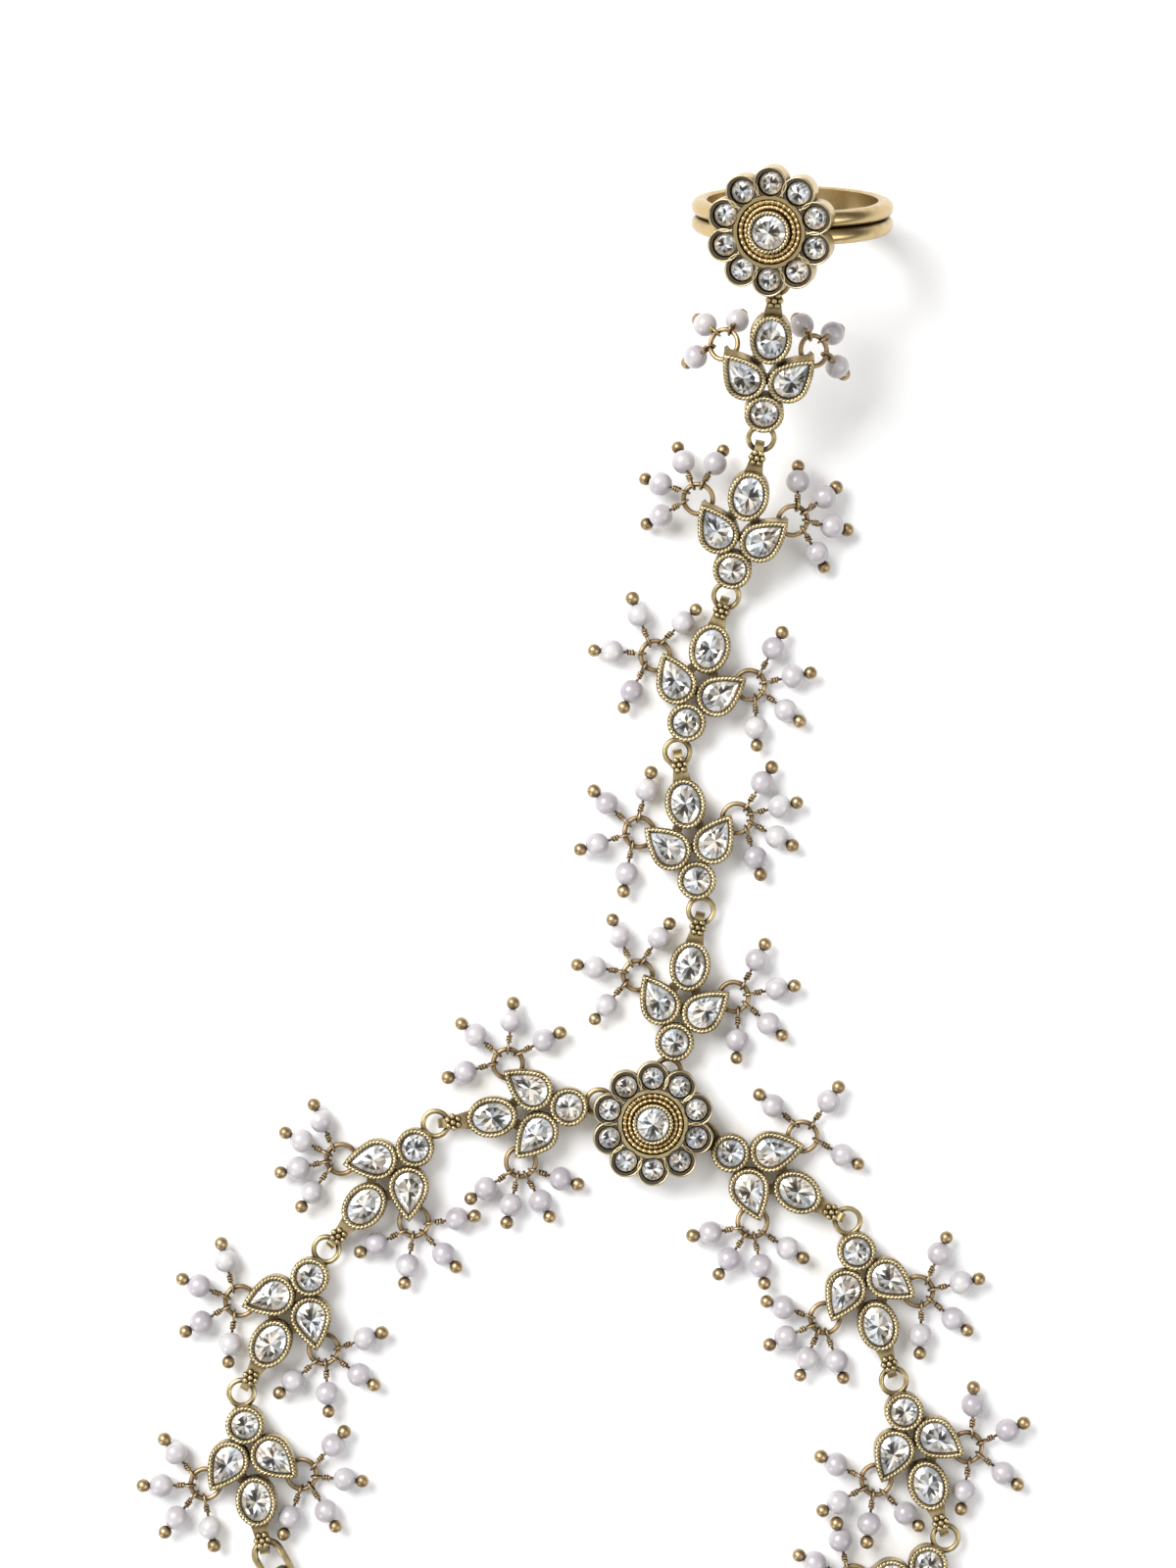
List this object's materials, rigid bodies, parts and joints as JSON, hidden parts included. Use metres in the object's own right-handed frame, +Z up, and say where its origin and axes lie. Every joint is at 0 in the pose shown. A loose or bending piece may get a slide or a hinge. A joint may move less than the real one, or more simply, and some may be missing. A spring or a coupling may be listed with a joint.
{
  "type": "hand chain bracelet",
  "caption": "Hand chain: a flower-headed finger ring joined by jewelled links with pearl drops to a flower medallion and a wrist loop.",
  "frame": {"origin": "under the middle of the medallion, on the surface the piece lies on", "axes": "+Z up from the surface, +Y from the medallion towards the finger ring, +X to the right"},
  "size_m": [0.0908, 0.1606, 0.0231],
  "materials": {
    "metal": "antiqued pale gold with dark recesses",
    "ring_metal": "polished pale gold",
    "dark_metal": "antiqued gold, darker",
    "crystal": "foil-backed clear faceted stone",
    "pearl": "satin pearl"
  },
  "bodies": {
    "root": {"finger_ring": "ring_metal", "ring_stones": "crystal", "hand_medallion": "metal", "medallion_stones": "crystal", "hand_link_1": "metal", "hand_link_2": "metal", "hand_link_3": "metal", "hand_link_4": "metal", "hand_link_5": "metal", "left_link_1": "metal", "left_link_2": "metal", "left_link_3": "metal", "left_link_4": "metal", "right_link_1": "metal", "right_link_2": "metal", "right_link_3": "metal", "right_link_4": "metal", "hand_stones": "crystal", "left_stones": "crystal", "right_stones": "crystal", "hand_drop_rings": "dark_metal", "left_drop_rings": "dark_metal", "right_drop_rings": "dark_metal", "hand_drops_1": "pearl", "hand_drops_2": "pearl", "hand_drops_3": "pearl", "hand_drops_4": "pearl", "hand_drops_5": "pearl", "left_drops_1": "pearl", "left_drops_2": "pearl", "left_drops_3": "pearl", "left_drops_4": "pearl", "right_drops_1": "pearl", "right_drops_2": "pearl", "right_drops_3": "pearl", "right_drops_4": "pearl", "closing_chain": "metal", "clasp": "metal"}
  },
  "joints": []
}
